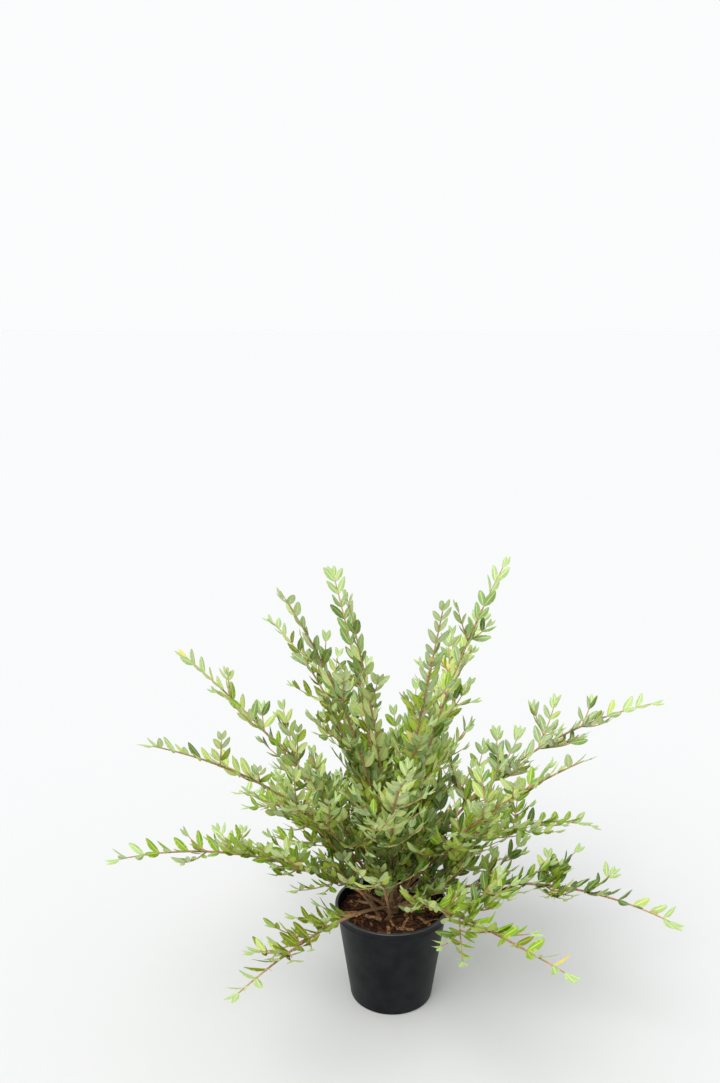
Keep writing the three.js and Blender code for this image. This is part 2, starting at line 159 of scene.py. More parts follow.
# Coir fibres
FIBRE_COUNT = 260
FIBRE_LENGTHS = (7, 22)
FIBRE_LENGTH_POWER = 1.6
FIBRE_RADIUS = 0.2
FIBRE_SIDES = 3
FIBRE_STEPS = 8
FIBRE_LEAST_POINTS = 3
FIBRE_CURL = 2.4
FIBRE_LIFT = 0.35
FIBRE_ARCH = 0.9
FIBRE_INNERMOST = 14
FIBRE_EDGE_MARGIN = 1
TAN_FIBRE_SHARE = 0.3
DARK_FIBRE_COLOUR = (0.055, 0.024, 0.012)
TAN_FIBRE_COLOUR = (0.270, 0.150, 0.075)
FIBRE_FINISH = (0.85, 0.25)

# Fallen leaves
FALLEN_LEAF_COUNT = 9
FALLEN_LEAF_LENGTHS = (11, 17)
FALLEN_LEAF_INNERMOST = 22
FALLEN_LEAF_TILT = 0.3
FALLEN_LEAF_LIFT = 1.3
FALLEN_LEAF_COLOURS = ((0.62, 0.42, 0.06), (0.55, 0.24, 0.05), (0.30, 0.15, 0.06))
FALLEN_LEAF_FINISH = (0.6, 0.35)

# Root crown, with its outline as radius and share of the height, and its furrowed bark
CROWN_HEIGHT = 26
CROWN_DOME = 1.6
CROWN_DOME_STEPS = 6
CROWN_OUTLINE = ((8.5, 0), (7.7, 0.14), (6.9, 0.45), (6.4, 0.86), (5.7, 1))
CROWN_LOBES = 5
CROWN_LOBE_DEPTH = 0.07
CROWN_SIDES = 72
CROWN_RINGS = 48
CROWN_FURROW_SCALE = 5
CROWN_FURROW_RUN = 0.1
CROWN_FURROW_DEPTH = 0.11
CROWN_FURROW_OCTAVES = 3
CROWN_FLECK_SCALE = 0.8
CROWN_FLECK_DEPTH = 0.02

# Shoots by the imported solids' rule: name, count, foot radius, foot height, lean at foot and tip,
# length, and the way the first one points
SHOOT_SEED = 19
RINGS = (
    ("leader", 1, 0.3, 26.6, (3, 16), 300, 200),
    ("upright", 4, 4.8, 26.8, (9, 34), 345, 35),
    ("arching", 7, 8.6, 18, (30, 66), 318, 10),
    ("spreading", 7, 8.4, 8, (58, 102), 270, 35.7),
    ("inner", 7, 19, 1.4, (26, 56), 150, 10),
)
TURN_SPREAD = 6
LEAN_SPREAD = 5
TIP_LEAN_SPREAD = 12
DRIFT_SPREAD = 26
LENGTH_SPREAD = 0.13
AXIS_STEPS = 36
BOUGH_SHARE = 0.3
BOUGH_FOOT_RADIUS = 1.8
BOUGH_TIP_RADIUS = 1.5
STEM_TIP_RADIUS = 0.6
STEM_FULLNESS = 1.7
STEM_OVERLAP = 1
YOUNG_BARK_FROM = 0.8
NODE_SPACING = 18
NODE_SWELLING = 0.16
NODE_HALF_LENGTH = 1.1
COLLAR_LENGTH = 5
COLLAR_SWELLING = 0.45

# Tubes of bark: sides, distance between rings and depth of the relief of furrows and flecks
BARK_RELIEF = 0.13
BOUGH_TUBE = {"sides": 12, "step": 1.3, "relief": BARK_RELIEF}
STEM_TUBE = {"sides": 9, "step": 1.6, "relief": 0.6 * BARK_RELIEF}
TWIG_TUBE = {"sides": 5, "step": 5, "relief": 0}
FURROW_SCALE = 2.2
FURROW_RUN = 0.12
FURROW_SHARE = 0.7
FLECK_RADIUS = 3
FLECK_SCALE = 0.9
FLECK_SHARE = 0.5

# Twig rules: distance to the first pair and between pairs, share of the limb that bears them,
# shortest and longest, how they shorten along it, least length kept, and spread of their angle.
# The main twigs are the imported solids' own, and finer ones and spurs grow on the same limbs.
MAIN_TWIGS = {
    "first": 16, "spacing": 52, "zone": 0.8,
    "reach": (40, 97), "thinning": 0.8, "least": 22, "spread": 12,
}
FINE_TWIGS = {
    "first": 15, "spacing": 38, "zone": 0.64,
    "reach": (26, 112), "thinning": 0.6, "least": 18, "spread": 28,
}
SPUR_TWIGS = {
    "first": 17, "spacing": 25, "zone": 0.66,
    "reach": (16, 44), "thinning": 0.8, "least": 14, "spread": 16,
}
TWIG_ANGLE = 48
TWIG_TURN_SPREAD = 25
TWIG_LIFT = 0.55
TWIG_STEPS = 8
TWIG_FOOT_RADIUS = 0.95
TWIG_TIP_RADIUS = 0.48
SPUR_BEARING_LENGTH = 52
FINE_TWIG_TOP = 160

# Room for twigs and leaves: round limbs, over the pot, and the front of the pot, which stays clear
SPACE_MARGIN = 1.6
LIMB_MARGIN = 1.2
RIM_MARGIN = 3
BARE_HEIGHT = 34
CLEAR_LEFT_RIGHT = (-46, 14)
CLEAR_FRONT_BACK = (-125, -5)
CLEAR_SLOPE = 0.3
SAMPLE_STEP = 5
REACH_LOW = np.array(cad_low) / MM - (0, 0, MEDIUM_TOP)
REACH_HIGH = np.array(cad_high) / MM - (0, 0, MEDIUM_TOP)

# Leaves stand in pairs at nodes, and a young pair ends each limb. Leaves are fresh beyond a share
# of the limb. The first ones stand at a share of a bough, or at a distance on a twig.
SHOOT_LEAVES = {"length": 22.5, "spacing": 18, "fresh_from": 0.9}
TWIG_LEAVES = {"length": 19, "spacing": 15.6, "fresh_from": 0.86}
FIRST_LEAF_SHARE = 0.6
FIRST_TWIG_LEAF = 6
LEAF_LENGTH_SPREAD = 0.16
LEAF_TIP_SCALE = 0.86
LEAF_TIP_SCALE_POWER = 2.5
SPACING_TIP_SCALE = 0.8
SPACING_SPREAD = 0.12
END_GAP = 0.3
END_LEAF_SCALE = 0.68
END_LEAF_SPLAY = 0.32
LEAF_ANGLE = 46
LEAF_ANGLE_SPREAD = 12
LEAF_TURN_SPREAD = 34
LEAF_LIFT = 0.5
LEAF_ROLL = 32

# A leaf's outline and bends, for a length of 1
LEAF_SHAPES = (0.33, 0.44)
LEAF_FOOT_POWER = 0.70
LEAF_TIP_POWERS = (0.64, 0.86)
LEAF_THICKNESS = 0.012
LEAF_FOLDS = (0.06, 0.34)
LEAF_BENDS = (-0.20, 0.13)
LEAF_TWIST = 0.35
LEAF_SWEEP = 0.07
LEAF_CUPPING = 1.1
LEAF_ROWS = (0.07, 0.24, 0.46, 0.69, 0.9)
LEAF_COLUMNS = (-1, -0.13, 0.13, 1)
LEAF_FORMS = 8

# Seeds that set a shoot's twigs and leaves apart from the next shoot's
TWIG_SEED = 1000
FINE_SEED = 3000
LEAF_SEED = 5000
TONE_SEED = 7000
FORM_SEED = 11

# Leaf tones: upper side, midrib and underside, as linear colours. The paler undersides are partly the
# leaves' own paler backs and partly painted light that shines through the thin leaf.
TONES = {
    "deep": ((0.092, 0.165, 0.016), (0.240, 0.340, 0.095), (0.150, 0.225, 0.045)),
    "cool": ((0.205, 0.335, 0.078), (0.420, 0.540, 0.225), (0.290, 0.400, 0.140)),
    "greyish": ((0.300, 0.400, 0.165), (0.490, 0.590, 0.310), (0.390, 0.480, 0.240)),
    "moss": ((0.160, 0.208, 0.007), (0.350, 0.410, 0.060), (0.275, 0.335, 0.032)),
    "green": ((0.215, 0.365, 0.016), (0.430, 0.560, 0.105), (0.370, 0.470, 0.055)),
    "light": ((0.450, 0.560, 0.140), (0.600, 0.700, 0.290), (0.500, 0.590, 0.215)),
    "fresh": ((0.375, 0.515, 0.180), (0.580, 0.690, 0.340), (0.470, 0.570, 0.245)),
    "yellow": ((0.760, 0.620, 0.085), (0.800, 0.700, 0.200), (0.700, 0.600, 0.200)),
}
UPPER_SIDE_SCALE = 0.94
UPPER_SIDE_FINISH = (0.32, 0.35)
MIDRIB_FINISH = (0.42, 0.32)
UNDERSIDE_FINISH = (0.6, 0.3)

# How often each tone comes up in the shaded middle and in layers up to a height over the medium. The
# darker tones of the shaded middle are painted shade.
SHADE_RADIUS = 75
SHADE_HEIGHT = 150
SHADE_TONES = {"deep": 0.46, "moss": 0.34, "green": 0.20}
# The layers' tones are partly the leaves' own spread and partly painted light and shade: the lowest
# layer's darker, warmer tones paint the crown's shade, and the second layer's lighter tones paint light
# that the crown's own shade keeps off.
LAYERS = (
    (125, {"deep": 0.10, "moss": 0.22, "green": 0.41, "light": 0.27}),
    (265, {"deep": 0.15, "moss": 0.07, "green": 0.15, "light": 0.38, "cool": 0.12, "greyish": 0.13}),
    (math.inf, {"deep": 0.40, "cool": 0.29, "greyish": 0.25, "light": 0.06}),
)
LAYER_BLUR = 35
TWIG_KEEPS_TONE = 0.6
LEAF_KEEPS_TONE = 0.7
YELLOW_SHARE = 0.004

# Mottled finishes: dark and pale colour, roughness, pattern scale per metre, bump, specular level
FINISHES = {
    "pot_plastic": ((0.0045, 0.0049, 0.0058), (0.0122, 0.0128, 0.0143), 0.42, 55, 0.1, 0.13),
    # A paler finish on the top of the pot's lip, as a painted highlight
    "painted_lip_highlight": ((0.032, 0.034, 0.036), (0.062, 0.066, 0.070), 0.38, 90, 0.05, 0.5),
    "growing_medium": ((0.008, 0.004, 0.002), (0.058, 0.022, 0.011), 0.92, 420, 0.9, 0.2),
    "bark_chip": ((0.020, 0.008, 0.004), (0.120, 0.045, 0.020), 0.85, 300, 0.5, 0.2),
    "russet_chip": ((0.070, 0.018, 0.007), (0.240, 0.082, 0.034), 0.85, 300, 0.5, 0.2),
    "wood_chip": ((0.200, 0.098, 0.040), (0.520, 0.310, 0.145), 0.75, 260, 0.4, 0.2),
    "old_bark": ((0.090, 0.045, 0.023), (0.255, 0.150, 0.080), 0.82, 520, 0.7, 0.3),
    "limb_bark": ((0.140, 0.071, 0.029), (0.360, 0.225, 0.108), 0.78, 520, 0.7, 0.3),
    "stem_bark": ((0.215, 0.112, 0.044), (0.460, 0.305, 0.148), 0.7, 480, 0.5, 0.3),
    "young_stem": ((0.365, 0.218, 0.088), (0.490, 0.355, 0.145), 0.55, 300, 0.2, 0.3),
}
MOTTLE_DETAIL = 6
MOTTLE_RANGE = (0.35, 0.68)

# Camera and light, in metres and degrees
CAMERA_PLACE = (-0.035, -1.036, 0.739)
CAMERA_PITCH = 77.8
CAMERA_LENS = 34.54
SENSOR_SIZE = 36
KEY_DIRECTION = (0.5, 0.75, -1.25)
KEY_STRENGTH = 2.3
KEY_ANGLE = 45
SKY_COLOUR = (0.965, 0.975, 0.98)
SKY_STRENGTH = 1.0
STAGE_RADIUS = 60
STAGE_SIDES = 96
STAGE_COLOUR = (0.612, 0.613, 0.615)
STAGE_FINISH = (0.9, 0.1)


# Random numbers and small sums

def seeded(seed):
    """Repeatable random numbers from 0 to 1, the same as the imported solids'."""
    state = seed & 0xFFFFFFFF

    def draw():
        nonlocal state
        state = (state + 0x6D2B79F5) & 0xFFFFFFFF
        mixed = ((state ^ (state >> 15)) * (state | 1)) & 0xFFFFFFFF
        mixed ^= (mixed + (mixed ^ (mixed >> 7)) * (mixed | 61)) & 0xFFFFFFFF
        return ((mixed ^ (mixed >> 14)) & 0xFFFFFFFF) / 4294967296

    return draw


def spread_of(random, spread):
    """A random number between minus and plus a spread."""
    return (2 * random() - 1) * spread


def mix(low, high, share):
    """The value at a share of the way from low to high."""
    return low + (high - low) * share


def turned(vector, axis, angle):
    """A vector turned about an axis by an angle in radians."""
    return Quaternion(axis, angle) @ vector


# Materials

def principled(name, colour, roughness, specular):
    """A plain material and its shader."""
    material = bpy.data.materials.new(name)
    material.use_nodes = True
    shader = material.node_tree.nodes["Principled BSDF"]
    shader.inputs["Base Color"].default_value = (*colour, 1)
    shader.inputs["Roughness"].default_value = roughness
    shader.inputs["Specular IOR Level"].default_value = specular
    return material, shader


def mottled(name):
    """Noise between two colours, with a bump from the same noise."""
    dark, pale, roughness, scale, bump, specular = FINISHES[name]
    material, shader = principled(name, pale, roughness, specular)
    nodes, links = material.node_tree.nodes, material.node_tree.links
    place = nodes.new("ShaderNodeTexCoord")
    pattern = nodes.new("ShaderNodeTexNoise")
    pattern.inputs["Scale"].default_value = scale
    pattern.inputs["Detail"].default_value = MOTTLE_DETAIL
    ramp = nodes.new("ShaderNodeValToRGB")
    for stop, position, colour in zip(ramp.color_ramp.elements, MOTTLE_RANGE, (dark, pale)):
        stop.position = position
        stop.color = (*colour, 1)
    relief = nodes.new("ShaderNodeBump")
    relief.inputs["Strength"].default_value = bump
    relief.inputs["Distance"].default_value = MM
    links.new(place.outputs["Object"], pattern.inputs["Vector"])
    links.new(pattern.outputs["Fac"], ramp.inputs["Fac"])
    links.new(ramp.outputs["Color"], shader.inputs["Base Color"])
    links.new(pattern.outputs["Fac"], relief.inputs["Height"])
    links.new(relief.outputs["Normal"], shader.inputs["Normal"])
    return material


def leaf_materials(tone):
    """Upper side, midrib and underside, in the order of a leaf's material indexes."""
    upper, rib, under = TONES[tone]
    return [
        principled(f"leaf_{tone}", [UPPER_SIDE_SCALE * part for part in upper], *UPPER_SIDE_FINISH)[0],
        principled(f"leaf_{tone}_midrib", rib, *MIDRIB_FINISH)[0],
        principled(f"leaf_{tone}_underside", under, *UNDERSIDE_FINISH)[0],
    ]


# Meshes

class Parts:
    """Vertices, faces and material indexes of a piece, gathered part by part."""

    def __init__(self):
        self.vertices = []
        self.faces = []
        self.slots = []
        self.count = 0

    def add(self, vertices, faces, slot=0):
        """Adds a part with one material index, or with a list of them for its faces."""
        self.faces.extend(tuple(corner + self.count for corner in face) for face in faces)
        self.slots.extend(slot if isinstance(slot, list) else [slot] * len(faces))
        self.vertices.append(np.asarray(vertices, dtype=float))
        self.count += len(vertices)


def make_piece(name, parts, materials, stands_for=(), base=0.0):
    """A mesh object in metres from parts in millimetres that start at a height."""
    vertices = (np.concatenate(parts.vertices) + (0, 0, base)) * MM
    mesh = bpy.data.meshes.new(name)
    mesh.from_pydata(vertices.tolist(), [], parts.faces)
    for material in materials:
        mesh.materials.append(material)
    mesh.polygons.foreach_set("material_index", parts.slots)
    mesh.polygons.foreach_set("use_smooth", [True] * len(parts.faces))
    mesh.update()
    piece = bpy.data.objects.new(name, mesh)
    bpy.context.scene.collection.objects.link(piece)
    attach(piece, "root")
    if stands_for:
        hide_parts(*stands_for)
    return piece


def ring_faces(rings, sides):
    """Quads between closed rings of vertices that follow each other."""
    faces = []
    for ring in range(rings - 1):
        for side in range(sides):
            other = (side + 1) % sides
            low, high = ring * sides, (ring + 1) * sides
            faces.append((low + side, low + other, high + other, high + side))
    return faces


def lathe(profile, sides):
    """Closed surface of revolution from radius and height pairs that start and end on the axis."""
    vertices = [(0, 0, profile[0][1])]
    inner = profile[1:-1]
    for radius, height in inner:
        for side in range(sides):
            angle = 2 * math.pi * side / sides
            vertices.append((radius * math.cos(angle), radius * math.sin(angle), height))
    vertices.append((0, 0, profile[-1][1]))
    last = len(vertices) - 1
    faces = [tuple(corner + 1 for corner in face) for face in ring_faces(len(inner), sides)]
    for side in range(sides):
        other = (side + 1) % sides
        faces.append((0, other + 1, side + 1))
        faces.append((last, last - sides + side, last - sides + other))
    return vertices, faces


# Pot

def wall_radius(height):
    """Radius of the outside of the pot's wall, which widens from the base to the band."""
    return mix(POT_BASE_RADIUS, POT_RIM_RADIUS - BAND_STEP, height / (POT_HEIGHT - BAND_HEIGHT))


def on_rim(points):
    """Radius and height of points given as inset from the outer edge and drop from the top."""
    return [(POT_RIM_RADIUS - inset, POT_HEIGHT - drop) for inset, drop in points]


def rounded(start, corner, end, steps=CURVE_STEPS):
    """A corner of a profile as a short curve between two points on its sides."""
    curve = []
    for step in range(steps + 1):
        share = step / steps
        first = [mix(a, b, share) for a, b in zip(start, corner)]
        second = [mix(a, b, share) for a, b in zip(corner, end)]
        curve.append(tuple(mix(a, b, share) for a, b in zip(first, second)))
    return curve


def pot_profile():
    """Outline from the middle of the underside, up the wall and round the lip, to the floor."""
    band = POT_HEIGHT - BAND_HEIGHT
    under_band = band - FILLET_DROP
    profile = [(radius, 0) for radius in UNDERSIDE_RINGS]
    profile += rounded(
        (wall_radius(0) - BASE_CHAMFER, 0),
        (wall_radius(0), 0),
        (wall_radius(BASE_CHAMFER), BASE_CHAMFER),
    )
    profile += [(wall_radius(share * band), share * band) for share in OUTER_WALL_RINGS]
    profile += rounded((wall_radius(under_band), under_band), *on_rim(FILLET))
    profile += rounded(*on_rim(BAND_EDGE))
    profile += on_rim(BAND_FACE)
    profile += rounded(*on_rim(BEAD), FINE_CURVE_STEPS)
    profile += rounded(*on_rim(LIP_EDGE))
    profile += rounded(*on_rim(LIP_GROOVE), FINE_CURVE_STEPS)
    profile += rounded(*on_rim(LIP_INSIDE))
    profile += rounded(*on_rim(INSIDE_STEP))
    profile += [(wall_radius(share * band) - POT_WALL, share * band) for share in INNER_WALL_RINGS]
    profile += [(wall_radius(FLOOR_CORNER_HEIGHT) - POT_WALL, FLOOR_CORNER_HEIGHT)]
    profile += [(POT_BASE_RADIUS - BASE_CHAMFER, POT_FLOOR)]
    profile += [(radius, POT_FLOOR) for radius in FLOOR_RINGS]
    return profile


def drain_drill(index):
    """A cylinder where a drain hole goes through the floor."""
    angle = (index + 0.5) * 2 * math.pi / DRAIN_COUNT
    bpy.ops.mesh.primitive_cylinder_add(
        vertices=DRAIN_SIDES,
        radius=DRAIN_RADIUS * MM,
        depth=4 * POT_FLOOR * MM,
        location=(DRAIN_RING_RADIUS * math.cos(angle) * MM, DRAIN_RING_RADIUS * math.sin(angle) * MM, 0),
    )
    return bpy.context.object


def drill(pot):
    """Cuts the drain holes and cleans the faces round them."""
    drills = [drain_drill(index) for index in range(DRAIN_COUNT)]
    for cutter in drills:
        cut = pot.modifiers.new("drain", "BOOLEAN")
        cut.operation = "DIFFERENCE"
        cut.solver = "EXACT"
        cut.object = cutter
    graph = bpy.context.evaluated_depsgraph_get()
    drilled = bpy.data.meshes.new_from_object(pot.evaluated_get(graph))
    pot.modifiers.clear()
    cleaned = bmesh.new()
    cleaned.from_mesh(drilled)
    many_sided = [face for face in cleaned.faces if len(face.verts) > 4]
    bmesh.ops.triangulate(cleaned, faces=many_sided)
    bmesh.ops.dissolve_degenerate(cleaned, dist=WELD_DISTANCE * MM, edges=cleaned.edges[:])
    cleaned.to_mesh(drilled)
    cleaned.free()
    pot.data = drilled
    for cutter in drills:
        bpy.data.objects.remove(cutter)


def make_pot():
    """The nursery pot, with a painted highlight on the top of its lip."""
    vertices, faces = lathe(pot_profile(), POT_SIDES)
    highlight_height = POT_HEIGHT - LIP_HIGHLIGHT_HEIGHT
    # Faces at the top of the lip take the paler finish of the painted highlight
    slots = [int(min(vertices[corner][2] for corner in face) > highlight_height) for face in faces]
    parts = Parts()
    parts.add(vertices, faces, slots)
    materials = [mottled("pot_plastic"), mottled("painted_lip_highlight")]
    drill(make_piece("nursery_pot", parts, materials, ["pot"]))


# Growing medium and what lies on it

def medium_height(x, y):
    """Height of the bumpy top over its mean, calm round the root crown."""
    from_calm = (math.hypot(x, y) - MEDIUM_CALM_RADIUS) / MEDIUM_CALM_BORDER
    bumpiness = min(max(from_calm, MEDIUM_LEAST_BUMPS), 1)
    broad = noise.noise(Vector((x * BUMP_SCALE, y * BUMP_SCALE, NOISE_HEIGHTS[0])))
    crumb_place = Vector((x * CRUMB_SCALE, y * CRUMB_SCALE, NOISE_HEIGHTS[1]))
    crumbs = noise.turbulence(crumb_place, CRUMB_OCTAVES, False)
    return MEDIUM_ROUGHNESS * bumpiness * (BUMP_SHARE * broad + CRUMB_SHARE * (crumbs - 0.5))


def make_medium():
    """The plug of growing medium."""
    edge = wall_radius(MEDIUM_TOP) - POT_WALL - MEDIUM_GAP
    underside = POT_FLOOR + MEDIUM_GAP
    profile = [
        (0, underside),
        (POT_BASE_RADIUS - MEDIUM_FOOT_INSET, underside),
        (wall_radius(MEDIUM_FOOT_HEIGHT) - POT_WALL - MEDIUM_GAP, MEDIUM_FOOT_HEIGHT),
        (edge, MEDIUM_TOP - MEDIUM_SIDE_DROP),
        (edge, MEDIUM_TOP - MEDIUM_EDGE_DROP),
    ]
    profile += [(edge * (1 - (ring + 1) / (MEDIUM_RINGS + 1)), MEDIUM_TOP) for ring in range(MEDIUM_RINGS)]
    profile += [(0, MEDIUM_TOP)]
    vertices, faces = lathe(profile, MEDIUM_SECTORS)
    bumpy = []
    for x, y, z in vertices:
        if z >= MEDIUM_TOP - MEDIUM_EDGE_DROP:
            beyond = max(0, math.hypot(x, y) / edge - (1 - MEDIUM_EDGE_SHARE))
            z = MEDIUM_TOP - MEDIUM_EDGE_DROP * beyond / MEDIUM_EDGE_SHARE + medium_height(x, y)
        bumpy.append((x, y, z))
    parts = Parts()
    parts.add(bumpy, faces)
    make_piece("medium_surface", parts, [mottled("growing_medium")], ["growing_medium"])


def place_on_medium(random, innermost, margin=LITTER_MARGIN):
    """A random place on the medium's top, at least a radius from the middle and off the wall."""
    outermost = wall_radius(MEDIUM_TOP) - POT_WALL - margin
    radius = math.sqrt(mix(innermost ** 2, outermost ** 2, random()))
    angle = 2 * math.pi * random()
    x, y = radius * math.cos(angle), radius * math.sin(angle)
    return Vector((x, y, MEDIUM_TOP + medium_height(x, y)))


def lying(random, tilt):
    """A random turn about the vertical after a small tilt about a level line."""
    across = math.cos(TILT_HEADING_RANGE * random())
    along = math.sin(TILT_HEADING_RANGE * random())
    about = Vector((across, along, 0)).normalized()
    return Quaternion(UP, 2 * math.pi * random()) @ Quaternion(about, spread_of(random, tilt))


def chip_kind(random):
    """A chip's material index."""
    kind = random()
    if kind < PALE_CHIP_SHARE:
        return PALE_CHIP
    return RUSSET_CHIP if kind < PALE_CHIP_SHARE + RUSSET_CHIP_SHARE else BROWN_CHIP


def chip_corners(random, half, place, turn):
    """Four uneven corners at each station along a chip."""
    corners = []
    for x, y, z in product(CHIP_STATIONS, (-1, 1), (-1, 1)):
        ragged = 1 + spread_of(random, CHIP_RAGGEDNESS)
        along = half.x * (x + spread_of(random, CHIP_END_SPREAD))
        corner = Vector((along, half.y * y * ragged, half.z * z * ragged))
        corners.append(tuple(place + turn @ corner))
    return corners


def chip_faces():
    """A chip's two ends, then the sides between its stations."""
    last = 4 * (len(CHIP_STATIONS) - 1)
    faces = [(0, 1, 3, 2), (last + 2, last + 3, last + 1, last)]
    for near in range(0, last, 4):
        far = near + 4
        for first, second in ((0, 1), (1, 3), (3, 2), (2, 0)):
            faces.append((near + second, near + first, far + first, far + second))
    return faces


def make_chips(random):
    """Bark chips: uneven splinters, bedded in the top."""
    faces = chip_faces()
    parts = Parts()
    for _ in range(CHIP_COUNT):
        kind = chip_kind(random)
        lengths = PALE_CHIP_LENGTHS if kind == PALE_CHIP else CHIP_LENGTHS
        length = mix(*lengths, random() ** CHIP_LENGTH_POWER)
        half_width = length * mix(*CHIP_SLENDERNESS, random()) + CHIP_LEAST_HALF_WIDTH
        half = Vector((length / 2, half_width, mix(*CHIP_HALF_THICKNESSES, random())))
        turn = lying(random, min(CHIP_TILT, CHIP_END_LIFT / length))
        place = place_on_medium(random, CHIP_INNERMOST + half.x, CHIP_EDGE_MARGIN + half.x)
        place += UP * (PALE_CHIP_LIFT if kind == PALE_CHIP else 0)
        parts.add(chip_corners(random, half, place, turn), faces, kind)
    piece = make_piece("bark_chips", parts, [mottled(name) for name in CHIP_FINISHES])
    piece.data.polygons.foreach_set("use_smooth", [False] * len(piece.data.polygons))


def fibre_strand(place, heading, curl, length):
    """Points of a strand that curls over the top and rises a little in its middle."""
    reach = wall_radius(MEDIUM_TOP) - POT_WALL - FIBRE_EDGE_MARGIN
    strand = []
    for step in range(FIBRE_STEPS + 1):
        share = step / FIBRE_STEPS
        arch = FIBRE_ARCH * math.sin(math.pi * share)
        height = MEDIUM_TOP + medium_height(place.x, place.y) + FIBRE_LIFT + arch
        strand.append(Vector((place.x, place.y, height)))
        angle = heading + curl * share
        place = place + Vector((math.cos(angle), math.sin(angle), 0)) * (length / FIBRE_STEPS)
        if math.hypot(place.x, place.y) > reach:
            break
    return strand


def add_fibre(parts, strand, slot):
    """A closed three-sided tube along a strand."""
    vertices = []
    for point, after in zip(strand, strand[1:] + [strand[-1] * 2 - strand[-2]]):
        along = (after - point).normalized()
        side = along.cross(UP).normalized()
        for corner in range(FIBRE_SIDES):
            angle = 2 * math.pi * corner / FIBRE_SIDES
            out = side * math.cos(angle) + along.cross(side) * math.sin(angle)
            vertices.append(tuple(point + out * FIBRE_RADIUS))
    faces = ring_faces(len(strand), FIBRE_SIDES)
    last = len(vertices) - FIBRE_SIDES
    faces += [(2, 1, 0), (last, last + 1, last + 2)]
    parts.add(vertices, faces, slot)


def make_fibres(random):
    """Coir fibres: thin curved strands that lie on the top."""
    parts = Parts()
    for _ in range(FIBRE_COUNT):
        length = mix(*FIBRE_LENGTHS, random() ** FIBRE_LENGTH_POWER)
        place = place_on_medium(random, FIBRE_INNERMOST)
        heading = 2 * math.pi * random()
        curl = spread_of(random, FIBRE_CURL)
        slot = int(random() < TAN_FIBRE_SHARE)
        strand = fibre_strand(place, heading, curl, length)
        if len(strand) >= FIBRE_LEAST_POINTS:
            add_fibre(parts, strand, slot)
    materials = [
        principled("dark_fibre", DARK_FIBRE_COLOUR, *FIBRE_FINISH)[0],
        principled("tan_fibre", TAN_FIBRE_COLOUR, *FIBRE_FINISH)[0],
    ]
    make_piece("coir_fibres", parts, materials)


def make_fallen_leaves(random, forms):
    """Old leaves that lie on the growing medium."""
    materials = [
        principled(f"old_leaf_{index}", colour, *FALLEN_LEAF_FINISH)[0]
        for index, colour in enumerate(FALLEN_LEAF_COLOURS)
    ]
    middle = Vector((0.5, 0, 0))
    parts = Parts()
    for index in range(FALLEN_LEAF_COUNT):
        points, faces, _ = forms[index % len(forms)]
        length = mix(*FALLEN_LEAF_LENGTHS, random())
        turn = lying(random, FALLEN_LEAF_TILT)
        place = place_on_medium(random, FALLEN_LEAF_INNERMOST) + UP * FALLEN_LEAF_LIFT
        placed = [tuple(place + turn @ ((Vector(point) - middle) * length)) for point in points]
        parts.add(placed, faces, index % len(materials))
    make_piece("fallen_leaves", parts, materials)


# Growth of shoots and twigs

class Axis:
    """Straight short steps from a foot, with a place, direction and side at each station."""

    def __init__(self, foot, length, steps, direction_at, side_at):
        place = foot.copy()
        self.length = length
        self.stations = []
        for step in range(steps + 1):
            self.stations.append((place.copy(), direction_at(step / steps), side_at(step / steps)))
            place += direction_at((step + 0.5) / steps) * (length / steps)
        self.points = np.array([tuple(station[0]) for station in self.stations])

    def at(self, distance):
        """Place, direction and side at a distance from the foot."""
        steps = len(self.stations) - 1
        exact = min(max(distance / self.length, 0), 1) * steps
        lower = min(int(exact), steps - 1)
        before, after = self.stations[lower], self.stations[lower + 1]
        place, direction, side = (a.lerp(b, exact - lower) for a, b in zip(before, after))
        return place, direction.normalized(), side.normalized()


def shoot_axis(ring, index, random):
    """A shoot bends over from its lean at the foot to its lean at the tip and drifts sideways."""
    _, count, foot_radius, foot_height, lean, length, turn = ring
    azimuth = turn + index * 360 / count + spread_of(random, TURN_SPREAD)
    foot_lean = lean[0] + spread_of(random, min(LEAN_SPREAD, 0.5 * lean[0]))
    tip_lean = lean[1] + spread_of(random, TIP_LEAN_SPREAD)
    drift = spread_of(random, DRIFT_SPREAD)
    length *= 1 + spread_of(random, LENGTH_SPREAD)
    facing = math.radians(azimuth)
    foot = Vector((foot_radius * math.cos(facing), foot_radius * math.sin(facing), foot_height))

    def heading_at(share):
        return math.radians(azimuth + drift * share * share)

    def direction_at(share):
        slope, heading = math.radians(mix(foot_lean, tip_lean, share)), heading_at(share)
        across = math.sin(slope)
        return Vector((across * math.cos(heading), across * math.sin(heading), math.cos(slope)))

    def side_at(share):
        return Vector((-math.sin(heading_at(share)), math.cos(heading_at(share)), 0))

    return Axis(foot, length, AXIS_STEPS, direction_at, side_at)


def grow_shoots():
    """Name, axis and the distance where bough and stem join, for every shoot."""
    random = seeded(SHOOT_SEED)
    shoots = []
    for ring in RINGS:
        name, count = ring[:2]
        for index in range(count):
            axis = shoot_axis(ring, index, random)
            numbered = f"{name}_{index + 1}" if count > 1 else name
            shoots.append({"name": numbered, "axis": axis, "join": BOUGH_SHARE * axis.length})
    return shoots


def twig_axis(foot, heading, length):
    """A side twig leaves its limb at an angle and lifts towards the light."""

    def direction_at(share):
        return (heading + UP * (TWIG_LIFT * share)).normalized()

    def side_at(share):
        return UP.cross(direction_at(share)).normalized()

    return Axis(foot, length, TWIG_STEPS, direction_at, side_at)


